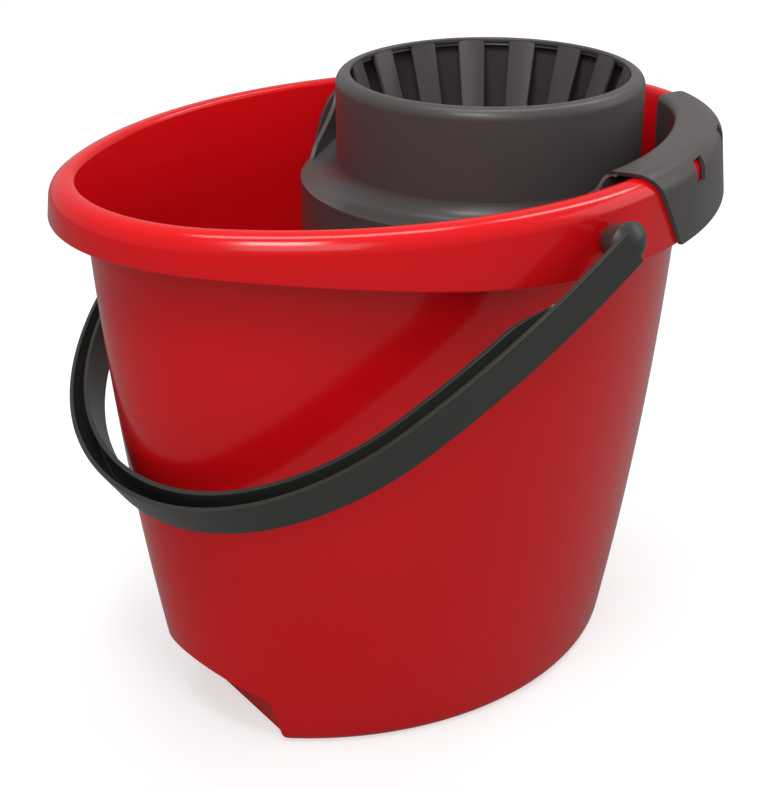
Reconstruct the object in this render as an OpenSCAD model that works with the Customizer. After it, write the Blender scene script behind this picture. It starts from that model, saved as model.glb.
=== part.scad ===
// Oval mop bucket with a bail handle and a lift-out wringer with a slatted cone.
// X runs along the bucket towards its wringer end, Z is up, and the origin is
// the middle of the flat foot. All sizes are in millimetres.

/* [Bucket] */
// Half length of the bucket over its lip
lip_half_l = 190; // [182:1:205]
// Half width of the bucket over its lip
lip_half_w = 141; // [134:1:148]
// Radius of the lip at each end
lip_end_r = 107; // [98:1:114]
// Height of the top of the lip
lip_h = 304; // [290:1:330]
// Thickness of the bucket wall
wall_t = 2.4; // [1.8:0.1:3]
// Thickness of the bucket floor
floor_t = 3; // [2.4:0.1:5]
// How far the foot of the wall lies inside the lip
foot_in = 53.3; // [48:0.1:57]
// How far the top of the wall lies inside the lip
wall_in = 20.5; // [19.5:0.1:22]
// Outward bow of the wall at mid height
wall_bow = 4.3; // [3:0.1:6]
// Radius of the edge round the foot
foot_r = 8; // [5:0.5:10]

/* [Lip] */
// Height of the flare between the straight wall and the lip
flare_h = 39; // [37:1:44]
// Radius of the outer round of the lip
lip_out_r = 9.4; // [8:0.1:10.5]
// Radius of the inner round of the lip
lip_in_r = 3.4; // [3:0.1:4]
// Distance from the lip's outer edge to the centre of its outer round
lip_out_in = 12.2; // [11.6:0.1:12.8]
// Distance from the lip's outer edge to the centre of its inner round
lip_in_in = 13.1; // [12.6:0.1:14]
// Depth of the skirt at the wringer end
skirt_h = 37; // [34:1:38]
// How much shallower the skirt is at the grip end
skirt_rise = 18; // [8:1:20]
// Where the skirt starts to rise, towards the grip end
skirt_bend_x = 36; // [25:1:50]

/* [Tipping grip] */
// Half width of the grip recess under the end of the bucket
grip_half_w = 47; // [38:1:48]
// Height of the recess in the middle
grip_h = 49; // [36:1:55]
// Radius of the arch over the recess
grip_arch_r = 66; // [60:1:90]
// Depth of the recess from the foot's end
grip_deep = 29.7; // [23:0.1:32]

/* [Bail handle] */
// Place of the pivot along the bucket
pivot_x = 18.8; // [12:0.2:26]
// Depth of the pivot under the top of the lip
pivot_drop = 18.8; // [17:0.1:21]
// Radius of the pivot pins
pin_r = 5; // [4:0.1:6]
// Radial running clearance of the pins
pin_gap = 0.06; // [0.03:0.01:0.09]
// Length of the pins
pin_l = 15; // [12:0.5:17]
// Clearance between the pads of the handle and the skirt
pad_gap = 0.5; // [0.3:0.1:1.5]
// How far the grip stands clear of the lip's end when it lies level
bail_past = 19.3; // [18:0.1:31]
// Distance from the lip's side to the middle of the arms at their pivots
bail_off = 10.8; // [10:0.1:17]
// Angle of the resting handle under the horizontal
bail_tilt = 35; // [20:0.5:35]
// Width of the channel section
bail_w = 11.6; // [9:0.1:12]
// Height of the channel section
bail_h = 21.5; // [18:0.5:22]
// Thickness of the channel's walls
bail_t = 2.4; // [2:0.1:3]
// Lean of the channel's inner wall over its height
bail_draft = 2; // [1.5:0.1:3]
// Bevel on the channel's lower edges
bail_edge = 2.5; // [2:0.1:3.5]
// Radius of the bend at the middle of the grip
bail_tip_r = 150; // [140:1:160]
// Length of the solid stretch next to each pivot
bail_solid = 52; // [30:1:70]
// Radius of the domed boss over each pivot
boss_r = 11.6; // [10:0.1:13]
// How much narrower the boss is next to the skirt
boss_taper = 4; // [1:0.1:4.5]
// Height of the dome on the boss
dome_h = 6; // [3:0.5:8]

/* [Wringer] */
// Distance from the lip's end to the middle of the wringer
wringer_in = 131.3; // [128:0.1:136]
// Radius of the collar
collar_r = 81.6; // [78:0.1:84]
// How far the collar stands above the lip
collar_rise = 27; // [18:1:36]
// Thickness of the wringer's walls
wringer_t = 2.4; // [2:0.1:3]
// Width of the ring round the mouth
ring_w = 7.6; // [6.5:0.1:9]
// Radius of the round on the mouth
ring_r = 6; // [4:0.1:6.5]
// Thickness of the ring
ring_t = 3.2; // [2.6:0.1:4]
// Depth of the deck round the collar under the top of the lip
deck_drop = 29; // [26:1:31]
// Radius of the drum under the deck
drum_r = 101; // [98:1:103]
// Height of the drum
drum_h = 38; // [24:1:44]
// Angle round the drum at which its sides leave for the lip
drum_side_a = 130; // [127:1:133]
// Half width of the deck's opening next to the pouring gap
well_half_w = 46; // [36:1:54]

/* [Wings over the lip] */
// Clearance between the wings and the lip
wing_gap = 0.4; // [0.3:0.1:0.6]
// Clearance between the wings' inner skirt and the bucket's wall
skirt_gap = 1.2; // [0.8:0.1:1.6]
// Thickness of the wings
wing_t = 2.2; // [1.8:0.1:2.6]
// Radius of the round on the wings' inner edge
wing_r = 4; // [3.2:0.1:4.5]
// How far the inner skirt of the wings reaches below the flare
wing_tail = 3; // [1:1:12]
// Distance from the lip's end to the wings' free ends
wing_l = 136.5; // [130:0.5:142]
// Slant of the free ends, seen from above
wing_slant = 31; // [26:1:38]
// Slant of the free ends, seen from the side
wing_lean = 27.4; // [22:0.1:32]
// Half width of the pouring gap between the wings
pour_half_w = 24; // [21:1:36]
// Width of the slots in the wings
slot_w = 12; // [6:0.5:14]
// Height of the slots in the wings
slot_h = 12; // [8:1:14]
// Distance from the top of the lip to the top of the slots
slot_drop = 1; // [0:0.5:3]

/* [Sieve cone] */
// Number of slots round the cone
sieve_slots = 16; // [12:1:24]
// Slope of the cone from the vertical
sieve_slope = 20; // [16:0.5:22]
// Depth of the cone
sieve_h = 108; // [90:1:130]
// Thickness of the cone
sieve_t = 2.6; // [2:0.1:3.2]
// Share of the pitch that a slot takes
slot_share = 0.45; // [0.3:0.01:0.6]
// Turn of the slots about the cone's axis
slot_turn = 3; // [0:0.5:22]
// Solid height of the cone under its slots
sieve_foot = 20; // [10:1:30]
// Thickness of the cone's rim
rim_t = 3; // [2:0.1:4]
// How far the mouth of the cone lies inside the ring
mouth_step = 1; // [0.5:0.1:2]
// Clearance between the cone's rim and the collar
sieve_gap = 0.2; // [0.1:0.1:0.5]
// Number of drain holes in the foot of the cone
drains = 6; // [4:1:8]
// Radius of a drain hole
drain_r = 5; // [3:0.5:6]

/* [Hidden] */
$fn = 96;
far = 600;
arc_n = 5;
wall_n = 8;

// Four-arc oval of the lip: ends about (+-end_x, 0), sides about (0, -+side_y)
end_x = lip_half_l - lip_end_r;
side_r = (lip_end_r^2 - end_x^2 - lip_half_w^2) / (2 * (lip_end_r - lip_half_w));
side_y = side_r - lip_half_w;
// Where an end arc meets a side arc: all of it lies on the line from seam to seam_far
seam = [end_x, 0];
seam_far = seam + 3 * [end_x, side_y];

// Heights and slopes of the bucket's wall and lip
wall_top = lip_h - flare_h;
foot_lean = atan((foot_in - wall_in + 4 * wall_bow) / wall_top);
foot_z = foot_r * (1 - sin(foot_lean));
foot_s = wall_s(foot_z) - foot_r * cos(foot_lean);
skirt_low = lip_h - skirt_h;
out_z = lip_h - lip_out_r;
in_z = lip_h - lip_in_r;
skirt_lean = acos(lip_out_r / norm([lip_out_in, out_z - skirt_low]))
    - atan((out_z - skirt_low) / lip_out_in);
flare_lean = atan((wall_in + wall_t - lip_in_in - lip_in_r) / (in_z - wall_top));
pivot_z = lip_h - pivot_drop;
pad_y = lip_half_w + pad_gap;
grip_back_x = lip_half_l - foot_in - grip_deep;

// Offset of the wall's outer face from the lip's outer edge at height z
function wall_s(z) = let(u = z / wall_top)
    -foot_in + (foot_in - wall_in) * u + 4 * wall_bow * u * (1 - u);
// Points of an arc
function arc(c, r, a0, a1, n = arc_n) =
    [for (i = [0:n]) let(a = a0 + (a1 - a0) * i / n) c + r * [cos(a), sin(a)]];
// Outline pts closed along the axis of a turned piece of radius r
function from_axis(pts, r) = concat([[0, pts[0][1]]], [for (p = pts) [r + p[0], p[1]]],
    [[0, pts[len(pts) - 1][1]]]);

// ---- Oval building blocks -------------------------------------------------

// Plan of the +X end's share of the oval, and of the +Y side's share
module end_share() polygon([seam, [seam_far[0], -seam_far[1]], seam_far]);
module side_share() polygon([[-seam[0], 0], seam, seam_far, [-seam_far[0], seam_far[1]]]);

// Flat oval, offset by s from the lip's outer edge
module oval_2d(s) for (m = [0, 1]) {
    mirror([m, 0]) intersection() {
        translate(seam) circle(lip_end_r + s);
        end_share();
    }
    mirror([0, m]) intersection() {
        translate([0, -side_y]) circle(side_r + s);
        side_share();
    }
}

// A section drawn from the lip's outer edge, taken round the oval
module oval_sweep() for (m = [0, 1]) {
    mirror([m, 0, 0]) intersection() {
        translate([end_x, 0, 0]) rotate_extrude() translate([lip_end_r, 0]) children();
        linear_extrude(far) end_share();
    }
    mirror([0, m, 0]) intersection() {
        translate([0, -side_y, 0]) rotate_extrude() translate([side_r, 0]) children();
        linear_extrude(far) side_share();
    }
}

// Solid oval with the outline pts, which are [offset, height] from the bottom up
module oval_solid(pts) for (m = [0, 1]) {
    mirror([m, 0, 0]) intersection() {
        translate([end_x, 0, 0]) rotate_extrude() polygon(from_axis(pts, lip_end_r));
        linear_extrude(far) end_share();
    }
    mirror([0, m, 0]) intersection() {
        translate([0, -side_y, 0]) rotate_extrude() polygon(from_axis(pts, side_r));
        linear_extrude(far) side_share();
    }
}

// ---- Bucket -----------------------------------------------------------------

// Outer face: foot, bowed wall, underside of the lip and top of the lip
outer_pts = concat(
    arc([foot_s, foot_r], foot_r, -90, -foot_lean),
    [for (i = [1:wall_n]) let(z = foot_z + (wall_top - foot_z) * i / wall_n) [wall_s(z), z]],
    arc([-lip_in_in, in_z], lip_in_r - wall_t, 180 - flare_lean, 90, 3),
    arc([-lip_out_in, out_z], lip_out_r - wall_t, 90, skirt_lean),
    arc([-lip_out_in, out_z], lip_out_r, skirt_lean, 90));
// Skirt under the lip's outer round
skirt_pts = concat([[-lip_out_in, out_z] + (lip_out_r - wall_t) * [cos(skirt_lean), sin(skirt_lean)]],
    [[-wall_t / cos(skirt_lean), skirt_low], [0, skirt_low]],
    [[-lip_out_in, out_z] + lip_out_r * [cos(skirt_lean), sin(skirt_lean)]]);
// Hollow: floor, rounded corner, wall and the inner round of the lip
bed_r = foot_r - wall_t;
bed_z = floor_t + bed_r;
bed_top = bed_z - bed_r * sin(foot_lean);
hollow_pts = concat(
    arc([foot_s, bed_z], bed_r, -90, -foot_lean),
    [for (i = [1:wall_n]) let(z = bed_top + (wall_top - bed_top) * i / wall_n)
        [wall_s(z) - wall_t, z]],
    arc([-lip_in_in, in_z], lip_in_r, 180 - flare_lean, 90),
    [[-lip_in_in, lip_h + 1]]);

// Everything under the S-shaped lower edge of the skirt, seen from the front
module below_skirt() {
    run = skirt_bend_x + lip_half_l;
    bend_r = (run^2 + skirt_rise^2) / (4 * skirt_rise);
    mid_x = skirt_bend_x - run / 2;
    intersection() {
        translate([-lip_half_l, skirt_low + skirt_rise - bend_r]) circle(bend_r);
        translate([-far, 0]) square([far + mid_x, far]);
    }
    difference() {
        translate([mid_x - 1, 0]) square([skirt_bend_x - mid_x + 1, skirt_low + skirt_rise / 2]);
        translate([skirt_bend_x, skirt_low + bend_r]) circle(bend_r);
    }
}

// Room of the grip recess, grown by t on every side
module grip_room(t) translate([-far, 0, 0]) rotate([90, 0, 90])
    linear_extrude(far - grip_back_x + t) intersection() {
        translate([0, grip_h - grip_arch_r]) circle(grip_arch_r + t);
        translate([-grip_half_w - t, -far]) square([2 * (grip_half_w + t), 2 * far]);
    }

// Along a pivot's line on the +Y side, from y on
module at_pivot(y) translate([pivot_x, y, pivot_z]) rotate([-90, 0, 0]) children();

module bucket() color("red") difference() {
    union() {
        oval_solid(outer_pts);
        difference() {
            oval_sweep() polygon(skirt_pts);
            translate([0, far, 0]) rotate([90, 0, 0]) linear_extrude(2 * far) below_skirt();
        }
        // bosses behind the skirt carry the pivots
        intersection() {
            for (m = [0, 1]) mirror([0, m, 0]) at_pivot(lip_half_w / 2)
                cylinder(r = pin_r + wall_t + 1, h = lip_half_w);
            oval_solid([[-wall_t / 2, skirt_low],
                [-wall_t / 2 - (out_z - skirt_low) * tan(skirt_lean), out_z]]);
        }
    }
    // the hollow, less the raised floor over the grip recess
    difference() {
        oval_solid(hollow_pts);
        grip_room(wall_t);
    }
    grip_room(0);
    for (m = [0, 1]) mirror([0, m, 0]) at_pivot(pad_y - pin_l - pad_gap)
        cylinder(r = pin_r + pin_gap, h = far);
}

// ---- Bail handle --------------------------------------------------------------

// Distance from the pivot to the middle of the grip, and from the middle to the arms
bail_reach = lip_half_l + pivot_x + bail_past;
bail_half_w = lip_half_w + bail_off;
// Half of the loop: three tangent arcs that meet along these directions
tip_a = 16;
arm_a = 74;
bail_d1 = [cos(tip_a), sin(tip_a)];
bail_d2 = [cos(arm_a), sin(arm_a)];
// Radii of the second and third arc, from the reach and the half width
bail_m = [[bail_d2[0] - bail_d1[0], -bail_d2[0]], [bail_d2[1] - bail_d1[1], 1 - bail_d2[1]]];
bail_v = [bail_tip_r * (1 - bail_d1[0]) - bail_reach, bail_half_w - bail_tip_r * bail_d1[1]];
bail_det = bail_m[0][0] * bail_m[1][1] - bail_m[0][1] * bail_m[1][0];
mid_r = (bail_v[0] * bail_m[1][1] - bail_m[0][1] * bail_v[1]) / bail_det;
arm_r = (bail_m[0][0] * bail_v[1] - bail_v[0] * bail_m[1][0]) / bail_det;
tip_c = [bail_reach - bail_tip_r, 0];
mid_c = tip_c + (bail_tip_r - mid_r) * bail_d1;
arm_c = mid_c + (mid_r - arm_r) * bail_d2;
// Line across the section where one arc gives way to the next
function bail_seam(c, r, d) = [c + (r - bail_w) * d, c + (r + bail_w) * d];
solid_d = [bail_solid, sqrt(arm_r^2 - bail_solid^2)] / arm_r;
tip_seam = bail_seam(tip_c, bail_tip_r, bail_d1);
mid_seam = bail_seam(mid_c, mid_r, bail_d2);
solid_seam = bail_seam(arm_c, arm_r, solid_d);
pivot_seam = bail_seam([0, arm_c[1]], arm_r, [0, 1]);

// Outline of the section, its open side up and its inner wall at -X
bail_outline = [[-bail_w / 2, bail_h / 2], [bail_draft - bail_w / 2, bail_edge - bail_h / 2],
    [bail_draft + bail_edge - bail_w / 2, -bail_h / 2], [bail_w / 2 - bail_edge, -bail_h / 2],
    [bail_w / 2, bail_edge - bail_h / 2], [bail_w / 2, bail_h / 2]];
module channel_section() difference() {
    polygon(bail_outline);
    polygon([[bail_t - bail_w / 2, bail_h], [bail_t - bail_w / 2, bail_h / 2],
        [bail_t + bail_draft - bail_w / 2, bail_edge + bail_t - bail_h / 2],
        [bail_w / 2 - bail_t - 1, bail_t - bail_h / 2],
        [bail_w / 2 - bail_t, bail_t + 1 - bail_h / 2], [bail_w / 2 - bail_t, bail_h]]);
}
// Solid section whose top slopes down to the inside from a ridge at its outer edge
module ridge_section() difference() {
    polygon(bail_outline);
    polygon([[-bail_w, 0], [-bail_w / 2, bail_h / 2 - bail_w + bail_t],
        [bail_w / 2 - bail_t, bail_h / 2], [bail_w / 2 - bail_t, bail_h], [-bail_w, bail_h]]);
}
// Arc of radius r about c between two seams
module bail_arc(c, r, p, q) intersection() {
    translate([c[0], c[1], 0]) rotate_extrude() translate([r, 0]) children();
    translate([0, 0, -bail_h]) linear_extrude(2 * bail_h)
        polygon([c, p[0], p[1], p[1] + q[1] - c, q[1], q[0]]);
}

// One arm of the handle lying flat, its grip towards +X and its pivot towards +Y
module bail_arm() {
    bail_arc(mid_c, mid_r, tip_seam, mid_seam) channel_section();
    bail_arc(arm_c, arm_r, mid_seam, solid_seam) channel_section();
    bail_arc(arm_c, arm_r, solid_seam, pivot_seam) ridge_section();
    rotate([-90, 0, 0]) {
        translate([0, 0, pad_y])
            cylinder(r1 = boss_r - boss_taper, r2 = boss_r, h = bail_half_w - pad_y);
        translate([0, 0, bail_half_w]) intersection() {
            translate([0, 0, dome_h - dome_r]) sphere(dome_r);
            cylinder(r = boss_r, h = dome_h);
        }
        translate([0, 0, pad_y - pin_l]) cylinder(r = pin_r, h = pin_l + 1);
    }
}
dome_r = (boss_r^2 + dome_h^2) / (2 * dome_h);

module bail_handle() color("darkslategray") translate([pivot_x, 0, pivot_z])
    rotate([0, bail_tilt, 180]) {
        bail_arc(tip_c, bail_tip_r, [for (p = tip_seam) [p[0], -p[1]]], tip_seam)
            channel_section();
        for (m = [0, 1]) mirror([0, m, 0]) bail_arm();
    }

// ---- Wringer ------------------------------------------------------------------

wringer_x = lip_half_l - wringer_in;
collar_top = lip_h + collar_rise;
deck_z = lip_h - deck_drop;
deck_low = deck_z - wringer_t;
wing_end_x = lip_half_l - wing_l;
wing_top = lip_h + wing_gap + wing_t;
wing_foot = wall_top - wing_tail;
// Face of the wings' upright inner skirt that looks at the bucket's wall, its foot,
// and the middle of its thickness
skirt_s = -wall_in - wall_t - skirt_gap;
skirt_foot_s = wall_s(wing_foot) - wall_t - skirt_gap;
skirt_mid_s = skirt_s - wing_t / 2;
// How far the drum's walls reach towards the bucket's wall
drum_s = wall_s(deck_z - drum_h) - wall_t - skirt_gap;
// The drum's sides leave it here and run straight to the wings
side_in = 0.6;
side_dir = [sin(drum_side_a), -cos(drum_side_a)];
function side_pt(t) = [wringer_x, 0]
    + (drum_r - side_in - t) * [cos(drum_side_a), sin(drum_side_a)];
// Rise of the drum's sides above the deck: distance from where they leave, and height
ear_rise = [[0, 0], [7, 6], [20, 11], [27, 14], [36, 19], [46, 30]];
// Free edge of the wings' inner skirt: distance from the wing's end, and height from the lip
skirt_edge = [[-31.5, -34], [-27.5, -19.5], [-22.5, -9], [-18.5, -4.6], [-14.5, -1],
    [-8.5, 1.5], [-6, 4]];
// Middle of the oval's side arc to each slot in a wing
slot_as = [63.5, 48];
// Opening angle of the pouring gap on each side
pour_flare = 3;

// Plan of the drum and the room between its sides, made smaller by t
module drum_plan(t) {
    translate([wringer_x, 0]) circle(drum_r - t);
    polygon([side_pt(t), side_pt(t) + far * side_dir,
        [side_pt(t)[0] + far * side_dir[0], -side_pt(t)[1] - far * side_dir[1]],
        [side_pt(t)[0], -side_pt(t)[1]]]);
}

module collar_section() {
    inner = collar_r - wringer_t;
    polygon(concat([[inner, deck_low], [collar_r, deck_low]],
        arc([collar_r - ring_r, collar_top - ring_r], ring_r, 0, 90),
        [[collar_r - ring_w, collar_top], [collar_r - ring_w, collar_top - ring_t],
         [inner, collar_top - ring_t]]));
}

// Round inner edge of the wings, and the inner skirt down to its foot
wing_crown = [skirt_s - wing_t + wing_r, wing_top - wing_r];
inner_pts = concat(arc(wing_crown, wing_r, 90, 180),
    [[skirt_s - wing_t, wall_top], [skirt_foot_s - wing_t, wing_foot],
     [skirt_foot_s, wing_foot], [skirt_s, wall_top]],
    arc(wing_crown, wing_r - wing_t, 180, 90, 3));
// Channel that straddles the lip
module wing_section() polygon(concat(
    [[wing_gap, skirt_low], [wing_gap + wing_t, skirt_low]],
    arc([-lip_out_in, out_z], lip_out_r + wing_gap + wing_t, skirt_lean, 90), inner_pts,
    arc([-lip_out_in, out_z], lip_out_r + wing_gap, 90, skirt_lean)));
// Inner skirt of the wings with its curled top
module skirt_section() polygon(concat([[wing_crown[0] + wing_t, wing_top]], inner_pts,
    [[wing_crown[0] + wing_t, wing_top - wing_t]]));

// Cut that slants back over the lip at a wing's free end
module wing_end() translate([wing_end_x, lip_half_w - lip_out_in, lip_h])
    rotate([0, -wing_lean, -wing_slant]) translate([0, -far, -far]) cube(2 * far);

// Slot through a wing at angle a round the side of the oval
module wing_slot(a) translate([0, -side_y, lip_h - slot_drop - slot_h]) rotate(a)
    translate([side_r - lip_out_in + 1, -slot_w / 2, 0])
        cube([2 * lip_out_in, slot_w, slot_h]);

// Upright cut at the pouring gap
module pour_end() translate([lip_half_l + skirt_s, pour_half_w, 0]) rotate(pour_flare)
    translate([-far, 0, 0]) cube([2 * far, far, far]);

// Everything above the outline pts seen from the front, on the +Y side
module above(pts) translate([0, far, 0]) rotate([90, 0, 0]) linear_extrude(far) polygon(pts);

// One wing on the +Y side: it straddles the lip, and its inner skirt starts sooner
module wing() {
    difference() {
        intersection() {
            oval_sweep() wing_section();
            wing_end();
            pour_end();
        }
        for (a = slot_as) wing_slot(a);
    }
    intersection() {
        oval_sweep() skirt_section();
        above(concat([[wing_end_x + skirt_edge[0][0], 0]],
            [for (p = skirt_edge) [wing_end_x, lip_h] + p],
            [[wringer_x, wing_top + 1], [wringer_x, 0]]));
    }
}

// Wall that climbs from the drum's edge to the wing
module ear() intersection() {
    translate([0, 0, deck_low]) linear_extrude(far) polygon([side_pt(0),
        side_pt(0) + far * side_dir, side_pt(wringer_t) + far * side_dir, side_pt(wringer_t)]);
    oval_solid([[skirt_mid_s, deck_low], [skirt_mid_s, lip_h]]);
    above(concat([[-far, 0], [-far, deck_z]],
        [for (p = ear_rise) [side_pt(0)[0], deck_z] + p], [[far, lip_h], [far, 0]]));
}

module wringer_collar() color("dimgray") {
    translate([wringer_x, 0, 0]) rotate_extrude() collar_section();
    // deck from the collar to the wings, open towards the pouring gap
    difference() {
        translate([0, 0, deck_low]) linear_extrude(wringer_t) intersection() {
            drum_plan(0);
            oval_2d(skirt_mid_s);
        }
        translate([wringer_x, 0, 0]) cylinder(r = collar_r - wringer_t / 2, h = far);
        translate([wringer_x, -well_half_w, 0]) cube([far, 2 * well_half_w, far]);
    }
    // drum round the grip side of the deck
    translate([0, 0, deck_z - drum_h]) linear_extrude(drum_h) difference() {
        intersection() {
            drum_plan(0);
            oval_2d(drum_s);
            translate([-far, -far]) square([far + wringer_x, 2 * far]);
        }
        drum_plan(wringer_t);
    }
    for (m = [0, 1]) mirror([0, m, 0]) {
        wing();
        ear();
    }
}

// ---- Sieve cone -----------------------------------------------------------------

sieve_top = collar_top - ring_t;
sieve_low = sieve_top - sieve_h;
mouth_r = collar_r - ring_w - mouth_step;
foot_cone_r = mouth_r - (sieve_h - rim_t) * tan(sieve_slope);
rim_r = collar_r - wringer_t - sieve_gap;
// The slots stop just under the rim
sieve_head = rim_t + sieve_t / 4;
slot_y = collar_r * tan(180 * slot_share / sieve_slots);
drain_at = 0.6 * foot_cone_r;

module sieve_cone() color("dimgray") translate([wringer_x, 0, 0]) difference() {
    rotate_extrude() polygon([[mouth_r, sieve_top], [mouth_r, sieve_top - rim_t],
        [foot_cone_r, sieve_low], [0, sieve_low], [0, sieve_low - sieve_t],
        [foot_cone_r + sieve_t, sieve_low - sieve_t], [mouth_r + sieve_t, sieve_top - rim_t - sieve_t],
        [rim_r, sieve_top - rim_t], [rim_r, sieve_top]]);
    for (i = [1:sieve_slots]) rotate(i * 360 / sieve_slots + slot_turn)
        translate([0, 0, sieve_low + sieve_foot])
            linear_extrude(sieve_h - sieve_foot - sieve_head)
                polygon([[0, 0], [collar_r, -slot_y], [collar_r, slot_y]]);
    for (i = [1:drains]) rotate(i * 360 / drains) translate([drain_at, 0, 0])
        cylinder(r = drain_r, h = far);
}

bucket();
bail_handle();
wringer_collar();
sieve_cone();
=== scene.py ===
# %% [markdown]
# # An oval mop bucket with a wringer
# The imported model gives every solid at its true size, in metres, with the origin in the middle of the
# bucket's foot. This file dresses it: first the plastics, then the bucket, the handle and the wringer as
# smooth mouldings that take the place of the solids, and then the floor, the light and the camera.

# %% Load the frame
import math

import bmesh
import bpy
from mathutils import Matrix, Vector


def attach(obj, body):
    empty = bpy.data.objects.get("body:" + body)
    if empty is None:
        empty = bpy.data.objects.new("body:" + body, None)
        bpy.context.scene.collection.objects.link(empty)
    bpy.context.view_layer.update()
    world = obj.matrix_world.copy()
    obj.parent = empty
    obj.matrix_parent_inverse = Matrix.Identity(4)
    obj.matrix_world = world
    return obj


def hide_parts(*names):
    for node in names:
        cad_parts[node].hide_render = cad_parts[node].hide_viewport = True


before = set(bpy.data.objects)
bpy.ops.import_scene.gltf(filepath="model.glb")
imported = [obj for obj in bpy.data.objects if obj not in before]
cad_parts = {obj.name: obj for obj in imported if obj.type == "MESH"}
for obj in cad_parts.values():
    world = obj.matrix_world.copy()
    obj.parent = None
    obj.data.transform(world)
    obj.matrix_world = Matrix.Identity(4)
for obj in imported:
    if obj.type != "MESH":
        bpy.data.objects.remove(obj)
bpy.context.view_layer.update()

# %% [markdown]
# ## Colours and shared surface effects
# Moulded polypropylene is never one flat colour. The pigment clouds slightly, the tool leaves a fine
# satin grain, and handling leaves soft dull patches. Those three effects are node groups, so that each
# plastic can use them with values of its own.


# %% Helpers for every node tree
def seen(r, g, b):
    """Turns a colour as a screen shows it, 0 to 255, into the linear numbers that a shader takes."""
    parts = [c / 255 for c in (r, g, b)]
    return (*(c / 12.92 if c <= 0.04045 else ((c + 0.055) / 1.055) ** 2.4 for c in parts), 1.0)


def step(tree, kind, x, y, given=None, **setup):
    """A node with its properties set, and its inputs given as values or links, by name or by place."""
    made = tree.nodes.new(kind)
    made.location = (x, y)
    for key, value in setup.items():
        setattr(made, key, value)
    for key, value in (given or {}).items():
        if isinstance(value, bpy.types.NodeSocket):
            tree.links.new(value, made.inputs[key])
        else:
            made.inputs[key].default_value = value
    return made


def effect_group(name, output, **inputs):
    """A shader group with a vector and other named inputs and one named output."""
    group = bpy.data.node_groups.new(name, "ShaderNodeTree")
    for label, kind in {"Vector": "Vector", **inputs}.items():
        group.interface.new_socket(name=label, in_out="INPUT", socket_type="NodeSocket" + kind)
    group.interface.new_socket(name=output[0], in_out="OUTPUT", socket_type="NodeSocket" + output[1])
    return group, step(group, "NodeGroupInput", -700, 0).outputs


def end_group(group, socket):
    """Links the group's result to its output."""
    step(group, "NodeGroupOutput", 250, 0, {0: socket})
    print("effect", group.name)
    return group


# %% Pigment: slow clouds that shift the colour a little
MIX_A, MIX_B, MIX_RESULT = 6, 7, 2  # the colour sockets of a Mix node


def pigment_group():
    """Slow noise mixes a colour with a deeper one."""
    group, given = effect_group("pigment_clouds", ("Colour", "Color"),
                                Colour="Color", Deep="Color", Scale="Float")
    clouds = step(group, "ShaderNodeTexNoise", -400, 0,
                  {"Vector": given["Vector"], "Scale": given["Scale"], "Detail": 4.0, "Roughness": 0.55})
    mix = step(group, "ShaderNodeMix", -100, 0,
               {0: clouds.outputs["Fac"], MIX_A: given["Colour"], MIX_B: given["Deep"]}, data_type="RGBA")
    return end_group(group, mix.outputs[MIX_RESULT])


PIGMENT = pigment_group()


# %% Grain: the fine satin that the mould leaves
def grain_group():
    """Very fine noise gives a height of the grain's strength."""
    group, given = effect_group("mould_grain", ("Height", "Float"), Grain="Float")
    fine = step(group, "ShaderNodeTexNoise", -400, 0,
                {"Vector": given["Vector"], "Scale": 1400.0, "Detail": 2.0})
    height = step(group, "ShaderNodeMath", -100, 0, {0: fine.outputs["Fac"], 1: given["Grain"]},
                  operation="MULTIPLY")
    return end_group(group, height.outputs[0])


GRAIN = grain_group()


# %% Handling: patches where the gloss is a little duller
def handling_group():
    """Broad soft noise moves the roughness between two values."""
    group, given = effect_group("handling_marks", ("Roughness", "Float"), Glossy="Float", Dull="Float")
    patches = step(group, "ShaderNodeTexNoise", -400, 0,
                   {"Vector": given["Vector"], "Scale": 6.0, "Detail": 1.0, "Roughness": 0.4})
    gloss = step(group, "ShaderNodeMapRange", -100, 0,
                 {"Value": patches.outputs["Fac"], "From Min": 0.2, "From Max": 0.8,
                  "To Min": given["Glossy"], "To Max": given["Dull"]})
    return end_group(group, gloss.outputs["Result"])


HANDLING = handling_group()

# %% [markdown]
# ## The three plastics
# The bucket is a glossy red, the handle a charcoal with a faint green cast, and the wringer a warm dark
# grey. They differ in colour, in gloss and in how strong the grain is.

# %% One maker for all moulded plastics
CLOUD_SCALE, GRAIN_DEPTH, PLASTIC_IOR = 14.0, 0.001, 1.49


def plastic(name, colour, deep, gloss, grain, mirror):
    """Clouds between two colours, gloss between two roughnesses, grain of one strength."""
    material = bpy.data.materials.new(name)
    material.use_nodes = True
    tree = material.node_tree
    shader = tree.nodes["Principled BSDF"]
    place = step(tree, "ShaderNodeTexCoord", -900, 0).outputs["Object"]

    def effect(group, y, **values):
        return step(tree, "ShaderNodeGroup", -600, y, {"Vector": place, **values}, node_tree=group).outputs[0]

    tint = effect(PIGMENT, 200, Colour=colour, Deep=deep, Scale=CLOUD_SCALE)
    roughness = effect(HANDLING, 0, Glossy=gloss[0], Dull=gloss[1])
    height = effect(GRAIN, -250, Grain=grain)
    bump = step(tree, "ShaderNodeBump", -250, -250,
                {"Height": height, "Strength": 1.0, "Distance": GRAIN_DEPTH})
    tree.links.new(tint, shader.inputs["Base Color"])
    tree.links.new(roughness, shader.inputs["Roughness"])
    tree.links.new(bump.outputs["Normal"], shader.inputs["Normal"])
    shader.inputs["IOR"].default_value = PLASTIC_IOR
    shader.inputs["Specular IOR Level"].default_value = mirror
    print("plastic", name)
    return material


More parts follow.
